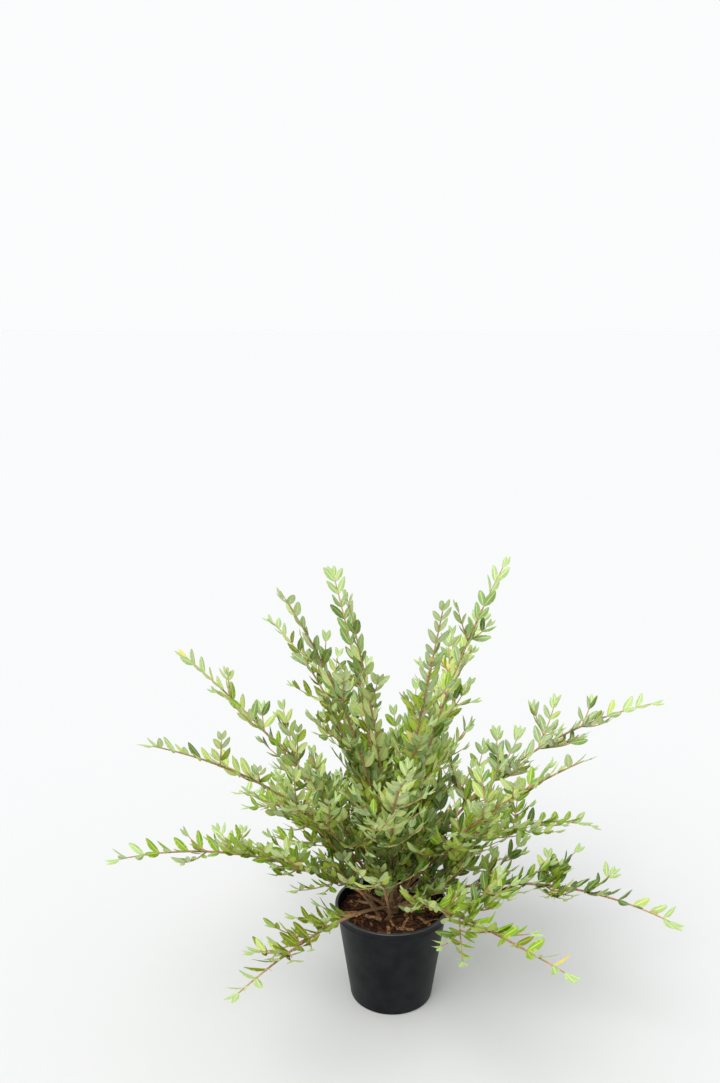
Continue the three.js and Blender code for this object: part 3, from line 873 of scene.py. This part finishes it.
def twigs_along(limb, start, rule, random):
    """Side twigs in pairs, longest low down, turned from pair to pair on an upright limb."""
    twigs = []
    crossed = False
    distance = start + rule["first"]
    while distance < rule["zone"] * limb.length:
        place, direction, side = limb.at(distance)
        crossing = 90 * abs(direction.z) if crossed else 0
        turn = math.radians(spread_of(random, TWIG_TURN_SPREAD) + crossing)
        crossed = not crossed
        share = (distance - start) / (limb.length - start)
        for hand in (-1, 1):
            outward = turned(side * hand, direction, turn)
            angle = math.radians(TWIG_ANGLE + spread_of(random, rule["spread"]))
            heading = (direction * math.cos(angle) + outward * math.sin(angle)).normalized()
            length = mix(*rule["reach"], random()) * (1 - share) ** rule["thinning"]
            if length > rule["least"]:
                twigs.append(twig_axis(place, heading, length))
        distance += rule["spacing"]
    return twigs


def distances_to(points, polyline):
    """Least distance from each point to a line of straight steps."""
    starts, steps = polyline[:-1], np.diff(polyline, axis=0)
    offsets = points[:, None, :] - starts[None]
    shares = np.clip((offsets * steps).sum(-1) / (steps * steps).sum(-1), 0, 1)
    nearest = offsets - shares[..., None] * steps
    return np.sqrt((nearest * nearest).sum(-1)).min(1)


def above_pot(points, least_height=POT_HEIGHT - MEDIUM_TOP + RIM_MARGIN):
    """True where points are high enough over the pot, or beside it and off the floor."""
    over_pot = np.hypot(points[:, 0], points[:, 1]) < POT_RIM_RADIUS + RIM_MARGIN
    return points[:, 2] >= np.where(over_pot, least_height, RIM_MARGIN - MEDIUM_TOP)


def in_own_space(twig, shoot, shoots):
    """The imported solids' rule for a twig: its own shoot is the nearest one all along."""
    count = int(twig.length // SAMPLE_STEP)
    points = np.array([tuple(twig.at(SAMPLE_STEP * (step + 1))[0]) for step in range(count)])
    if not above_pot(points).all():
        return False
    bough = shoot["axis"].points[: math.ceil(BOUGH_SHARE * AXIS_STEPS) + 1]
    if distances_to(points, bough).min() < BOUGH_FOOT_RADIUS + LIMB_MARGIN:
        return False
    own = distances_to(points, shoot["axis"].points) + SPACE_MARGIN
    others = (other for other in shoots if other is not shoot)
    return all((distances_to(points, other["axis"].points) > own).all() for other in others)


def off_the_front(points):
    """True where points leave the front of the pot in sight, under a slope that rises forwards."""
    x, y, z = points.T
    across = (x > CLEAR_LEFT_RIGHT[0]) & (x < CLEAR_LEFT_RIGHT[1])
    along = (y > CLEAR_FRONT_BACK[0]) & (y < CLEAR_FRONT_BACK[1])
    return ~(across & along) | (z > BARE_HEIGHT + CLEAR_SLOPE * (CLEAR_FRONT_BACK[1] - y))


def in_reach(points):
    """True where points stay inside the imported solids' box and leave the top of the pot bare."""
    boxed = (points > REACH_LOW).all() and (points < REACH_HIGH).all()
    return bool(boxed and above_pot(points, BARE_HEIGHT).all() and off_the_front(points).all())


def twigs_of(index, shoots):
    """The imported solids' own twigs of a shoot, then finer ones, and spurs on the longer ones."""
    shoot = shoots[index]
    axis = shoot["axis"]
    fine_random = seeded(FINE_SEED + index)
    main = twigs_along(axis, shoot["join"], MAIN_TWIGS, seeded(TWIG_SEED + index))
    main = [twig for twig in main if in_own_space(twig, shoot, shoots)]
    fine = twigs_along(axis, 0, FINE_TWIGS, fine_random)
    fine = [twig for twig in fine if twig.points[0][2] < FINE_TWIG_TOP]
    twigs = [twig for twig in main + fine if in_reach(twig.points[1:])]
    bearing = [twig for twig in twigs if twig.length > SPUR_BEARING_LENGTH]
    spurs = [spur for twig in bearing for spur in twigs_along(twig, 0, SPUR_TWIGS, fine_random)]
    return twigs + [spur for spur in spurs if in_reach(spur.points[1:])]


# Bark

def bark_relief(angle, distance, place):
    """Furrows along a limb, with flecks over them."""
    across = (FURROW_SCALE * math.cos(angle), FURROW_SCALE * math.sin(angle))
    furrow = noise.noise(Vector((*across, distance * FURROW_RUN)))
    fleck = noise.noise(place * FLECK_SCALE)
    return FURROW_SHARE * furrow + FLECK_SHARE * fleck


def tube(parts, axis, start, end, radius_at, form, slot_at=lambda distance: 0):
    """A round limb along an axis with a relief in its bark and a closed, pointed tip."""
    sides, relief = form["sides"], form["relief"]
    rings = max(2, round((end - start) / form["step"]) + 1)
    distances = [mix(start, end, ring / (rings - 1)) for ring in range(rings)]
    vertices = []
    for distance in distances:
        place, direction, side = axis.at(distance)
        across = direction.cross(side)
        for corner in range(sides):
            angle = 2 * math.pi * corner / sides
            out = side * math.cos(angle) + across * math.sin(angle)
            radius = radius_at(distance)
            if relief:
                radius += relief * bark_relief(angle, distance, place + out * FLECK_RADIUS)
            vertices.append(tuple(place + out * radius))
    faces = ring_faces(rings, sides)
    slots = [slot_at(distance) for distance in distances[:-1] for _ in range(sides)]
    foot, tip = len(vertices), len(vertices) + 1
    end_place, end_direction, _ = axis.at(end)
    vertices.append(tuple(axis.at(start)[0]))
    vertices.append(tuple(end_place + end_direction * radius_at(end)))
    top = (rings - 1) * sides
    for corner in range(sides):
        other = (corner + 1) % sides
        faces.append((foot, other, corner))
        faces.append((tip, top + corner, top + other))
    slots += [slots[0], slots[-1]] * sides
    parts.add(vertices, faces, slots)


def tapered(start, end, foot_radius, tip_radius, fullness=1):
    """A radius that falls from foot to tip. A fuller limb stays thick for longer."""
    def radius(distance):
        share = max(distance - start, 0) / (end - start)
        return mix(foot_radius, tip_radius, share ** fullness)
    return radius


def collared(radius_at):
    """A radius with a swelling at the foot."""
    def radius(distance):
        collar = 1 + COLLAR_SWELLING * max(0, 1 - distance / COLLAR_LENGTH) ** 2
        return radius_at(distance) * collar
    return radius


def knotted(radius_at):
    """A radius with a small swelling at each leaf node."""
    def radius(distance):
        from_node = abs((distance / NODE_SPACING + 0.5) % 1 - 0.5) * NODE_SPACING
        return radius_at(distance) * (1 + NODE_SWELLING * math.exp(-(from_node / NODE_HALF_LENGTH) ** 2))
    return radius


def add_shoot_bark(shoot, boughs, stems):
    """A shoot's bough, then its stem, whose bark is young towards the tip."""
    axis, join = shoot["axis"], shoot["join"]
    young_from = mix(join, axis.length, YOUNG_BARK_FROM)
    bough_radius = collared(tapered(0, join, BOUGH_FOOT_RADIUS, BOUGH_TIP_RADIUS))
    stem_radius = tapered(join, axis.length, BOUGH_TIP_RADIUS, STEM_TIP_RADIUS, STEM_FULLNESS)

    def stem_slot(distance):
        return int(distance > young_from)

    tube(boughs, axis, 0, join, knotted(bough_radius), BOUGH_TUBE)
    tube(stems, axis, join - STEM_OVERLAP, axis.length, knotted(stem_radius), STEM_TUBE, stem_slot)


def make_crown():
    """Root crown with furrowed bark, on a lobed outline."""
    outline_radii, outline_shares = zip(*CROWN_OUTLINE)
    shares = [ring / (CROWN_RINGS - 1) for ring in range(CROWN_RINGS)]
    radii = np.interp(shares, outline_shares, outline_radii)
    profile = [(0, MEDIUM_GAP)]
    profile += [(radius, mix(MEDIUM_GAP, CROWN_HEIGHT, share)) for radius, share in zip(radii, shares)]
    for step in range(1, CROWN_DOME_STEPS):
        angle = 0.5 * math.pi * step / CROWN_DOME_STEPS
        profile.append((radii[-1] * math.cos(angle), CROWN_HEIGHT + CROWN_DOME * math.sin(angle)))
    profile += [(0, CROWN_HEIGHT + CROWN_DOME)]
    vertices, faces = lathe(profile, CROWN_SIDES)
    furrowed = []
    for x, y, z in vertices:
        share, angle = min(z / CROWN_HEIGHT, 1), math.atan2(y, x)
        lobe = 1 - CROWN_LOBE_DEPTH * (1 - share) * (1 + math.cos(CROWN_LOBES * angle)) / 2
        across = (CROWN_FURROW_SCALE * math.cos(angle), CROWN_FURROW_SCALE * math.sin(angle))
        furrow_place = Vector((*across, z * CROWN_FURROW_RUN))
        furrow = noise.turbulence(furrow_place, CROWN_FURROW_OCTAVES, False)
        fleck = noise.noise(Vector((x, y, z)) * CROWN_FLECK_SCALE)
        scale = lobe * (1 - CROWN_FURROW_DEPTH * furrow + CROWN_FLECK_DEPTH * fleck)
        furrowed.append((x * scale, y * scale, z))
    parts = Parts()
    parts.add(furrowed, faces)
    make_piece("crown_bark", parts, [mottled("old_bark")], ["root_crown"], MEDIUM_TOP)


# Leaves and their tones

def leaf_form(random):
    """Vertices, faces and material indexes of a leaf of length 1 along X, facing +Z."""
    fold = mix(*LEAF_FOLDS, random())
    bend = mix(*LEAF_BENDS, random())
    twist = spread_of(random, LEAF_TWIST)
    sweep = spread_of(random, LEAF_SWEEP)
    shape = mix(*LEAF_SHAPES, random())
    tip_power = mix(*LEAF_TIP_POWERS, random())

    def outline(share):
        return share ** LEAF_FOOT_POWER * (1 - share) ** tip_power

    widest = outline(LEAF_FOOT_POWER / (LEAF_FOOT_POWER + tip_power))

    def half_width(share):
        return 0.5 * shape * outline(share) / widest

    def point(share, column, depth=0.0):
        across = column * half_width(share)
        cupping = LEAF_CUPPING * across * across / shape
        rise = fold * abs(across) - cupping + bend * share * share - depth
        turn = twist * share
        return (
            share,
            across * math.cos(turn) + sweep * share * share,
            rise + across * math.sin(turn),
        )

    rows, columns = len(LEAF_ROWS), len(LEAF_COLUMNS)
    vertices, faces, slots = [], [], []
    for thickness, blade_slot in ((0, 0), (LEAF_THICKNESS, 2)):
        first = len(vertices)
        vertices.append(point(0, 0))
        for row in LEAF_ROWS:
            for column in LEAF_COLUMNS:
                vertices.append(point(row, column, thickness if abs(column) < 1 else 0))
        vertices.append(point(1, 0))
        tip = len(vertices) - 1
        for column in range(columns - 1):
            cells = [(first, first + 2 + column, first + 1 + column)]
            for row in range(rows - 1):
                near = first + 1 + row * columns + column
                cells.append((near, near + 1, near + columns + 1, near + columns))
            near = tip - columns + column
            cells.append((near, near + 1, tip))
            faces.extend(cells if thickness else [cell[::-1] for cell in cells])
            on_midrib = abs(LEAF_COLUMNS[column]) < 1 and abs(LEAF_COLUMNS[column + 1]) < 1
            slots.extend([1 if on_midrib else blade_slot] * len(cells))
    return np.array(vertices), faces, slots


def leaf_pair(axis, distance, turn, length, random):
    """Two leaves stand on either side of a node, tilted forwards and up."""
    place, direction, side = axis.at(distance)
    pair = []
    for hand in (-1, 1):
        outward = turned(side * hand, direction, turn)
        angle = math.radians(LEAF_ANGLE + spread_of(random, LEAF_ANGLE_SPREAD))
        pointing = direction * math.cos(angle) + outward * math.sin(angle) + UP * LEAF_LIFT
        pointing.normalize()
        facing = direction.cross(outward) * hand
        facing = turned(facing, pointing, math.radians(spread_of(random, LEAF_ROLL)))
        size = length * (1 + spread_of(random, LEAF_LENGTH_SPREAD))
        pair.append((place, pointing, facing, size))
    return pair


def leaves_along(axis, start, rule, random):
    """Leaf pairs from a distance to the tip, where they grow smaller, each with its distance."""
    leaves = []
    distance = start
    while distance < axis.length - END_GAP * rule["spacing"]:
        share = distance / axis.length
        length = rule["length"] * mix(1, LEAF_TIP_SCALE, share ** LEAF_TIP_SCALE_POWER)
        turn = math.radians(spread_of(random, LEAF_TURN_SPREAD))
        leaves += [(distance, leaf) for leaf in leaf_pair(axis, distance, turn, length, random)]
        spacing = rule["spacing"] * mix(1, SPACING_TIP_SCALE, share ** 2)
        distance += spacing * (1 + spread_of(random, SPACING_SPREAD))
    place, direction, side = axis.at(axis.length)
    for hand in (-1, 1):
        pointing = (direction + side * (END_LEAF_SPLAY * hand)).normalized()
        leaf = (place, pointing, direction.cross(side), END_LEAF_SCALE * rule["length"])
        leaves.append((axis.length, leaf))
    return leaves


class Foliage:
    """Leaves gathered by tone, and made into one joined piece for each tone."""

    def __init__(self, forms):
        self.forms = forms
        self.leaves = {tone: [] for tone in TONES}

    def add(self, tone, leaf, form):
        """Adds a leaf where all of it is in reach."""
        place, pointing, facing, length = leaf
        across = facing.cross(pointing).normalized()
        normal = pointing.cross(across)
        basis = np.array([tuple(pointing), tuple(across), tuple(normal)]) * length
        points = self.forms[form][0] @ basis + np.array(tuple(place))
        if in_reach(points[1:]):
            self.leaves[tone].append((points, form))

    def make(self, tone, stands_for):
        parts = Parts()
        for points, form in self.leaves[tone]:
            parts.add(points, self.forms[form][1], self.forms[form][2])
        make_piece(f"leaves_{tone}", parts, leaf_materials(tone), stands_for, MEDIUM_TOP)


def tone_for(random, weights):
    """A random tone, each as often as its weight says."""
    pick = random() * sum(weights.values())
    for tone, weight in weights.items():
        pick -= weight
        if pick <= 0:
            return tone
    return tone


def tones_for(random):
    """A tone for the shaded middle, then one for each layer."""
    return [tone_for(random, SHADE_TONES)] + [tone_for(random, weights) for _, weights in LAYERS]


def zone_of(place, random):
    """0 in the shaded middle, whose darker tones are painted shade, or else the number of the layer, with
    a blurred border.
    """
    if math.hypot(place.x, place.y) < SHADE_RADIUS and place.z < SHADE_HEIGHT:
        return 0
    height = place.z + spread_of(random, LAYER_BLUR)
    return 1 + sum(height > top for top, _ in LAYERS)


class Dresser:
    """Puts leaves on one shoot and its twigs, in tones that most leaves of a limb share."""

    def __init__(self, foliage, index):
        self.foliage = foliage
        self.leaf_random = seeded(LEAF_SEED + index)
        self.tone_random = seeded(TONE_SEED + index)
        self.shoot_tones = tones_for(self.tone_random)

    def same_or_new(self, tones, share_kept):
        """The same tones as often as a share says, or else new ones."""
        return tones if self.tone_random() < share_kept else tones_for(self.tone_random)

    def dress(self, limb, start, rule, tones):
        """Adds leaves from a distance to the limb's tip."""
        for distance, leaf in leaves_along(limb, start, rule, self.leaf_random):
            leaf_tones = self.same_or_new(tones, LEAF_KEEPS_TONE)
            # The zone's tone is painted shade in the crown's middle, and partly painted light and shade in
            # the layers
            tone = leaf_tones[zone_of(leaf[0], self.tone_random)]
            if distance > rule["fresh_from"] * limb.length:
                tone = "fresh"
            if self.tone_random() < YELLOW_SHARE:
                tone = "yellow"
            self.foliage.add(tone, leaf, int(self.leaf_random() * LEAF_FORMS))


def grow_plant(forms):
    """Every limb, twig and leaf of the plant, joined by kind."""
    make_crown()
    shoots = grow_shoots()
    boughs, stems, twigs = Parts(), Parts(), Parts()
    foliage = Foliage(forms)
    for index, shoot in enumerate(shoots):
        dresser = Dresser(foliage, index)
        add_shoot_bark(shoot, boughs, stems)
        dresser.dress(shoot["axis"], FIRST_LEAF_SHARE * shoot["join"], SHOOT_LEAVES, dresser.shoot_tones)
        for twig in twigs_of(index, shoots):
            twig_radius = tapered(0, twig.length, TWIG_FOOT_RADIUS, TWIG_TIP_RADIUS)
            tube(twigs, twig, 0, twig.length, twig_radius, TWIG_TUBE)
            tones = dresser.same_or_new(dresser.shoot_tones, TWIG_KEEPS_TONE)
            dresser.dress(twig, FIRST_TWIG_LEAF, TWIG_LEAVES, tones)
    limbs = [f"bough_{shoot['name']}" for shoot in shoots]
    masses = [f"foliage_{shoot['name']}" for shoot in shoots]
    young = mottled("young_stem")
    make_piece("bough_bark", boughs, [mottled("limb_bark")], limbs, MEDIUM_TOP)
    make_piece("stems", stems, [mottled("stem_bark"), young], masses, MEDIUM_TOP)
    make_piece("twigs", twigs, [young], masses, MEDIUM_TOP)
    for tone in TONES:
        foliage.make(tone, masses)


# Stage

def set_light():
    """A broad key light and a pale sky."""
    lamp = bpy.data.lights.new("key", "SUN")
    lamp.energy = KEY_STRENGTH
    lamp.angle = math.radians(KEY_ANGLE)
    light = bpy.data.objects.new("key", lamp)
    light.rotation_euler = Vector(KEY_DIRECTION).to_track_quat("-Z", "Y").to_euler()
    bpy.context.scene.collection.objects.link(light)
    world = bpy.data.worlds.new("studio")
    world.use_nodes = True
    sky = world.node_tree.nodes["Background"]
    sky.inputs["Color"].default_value = (*SKY_COLOUR, 1)
    sky.inputs["Strength"].default_value = SKY_STRENGTH
    bpy.context.scene.world = world
    bpy.context.scene.view_settings.view_transform = "Standard"


def set_floor():
    bpy.ops.mesh.primitive_circle_add(vertices=STAGE_SIDES, radius=STAGE_RADIUS, fill_type="NGON")
    floor = bpy.context.object
    floor.name = "floor"
    floor.data.materials.append(principled("pale_floor", STAGE_COLOUR, *STAGE_FINISH)[0])


def set_camera():
    lens = bpy.data.cameras.new("camera")
    lens.lens = CAMERA_LENS
    lens.sensor_width = SENSOR_SIZE
    camera = bpy.data.objects.new("camera", lens)
    camera.location = CAMERA_PLACE
    camera.rotation_euler = (math.radians(CAMERA_PITCH), 0, 0)
    bpy.context.scene.collection.objects.link(camera)
    bpy.context.scene.camera = camera


set_camera()
set_floor()
set_light()
make_pot()
make_medium()
litter_random = seeded(MEDIUM_SEED)
make_chips(litter_random)
make_fibres(litter_random)
form_random = seeded(FORM_SEED)
leaf_forms = [leaf_form(form_random) for _ in range(LEAF_FORMS)]
grow_plant(leaf_forms)
make_fallen_leaves(litter_random, leaf_forms)
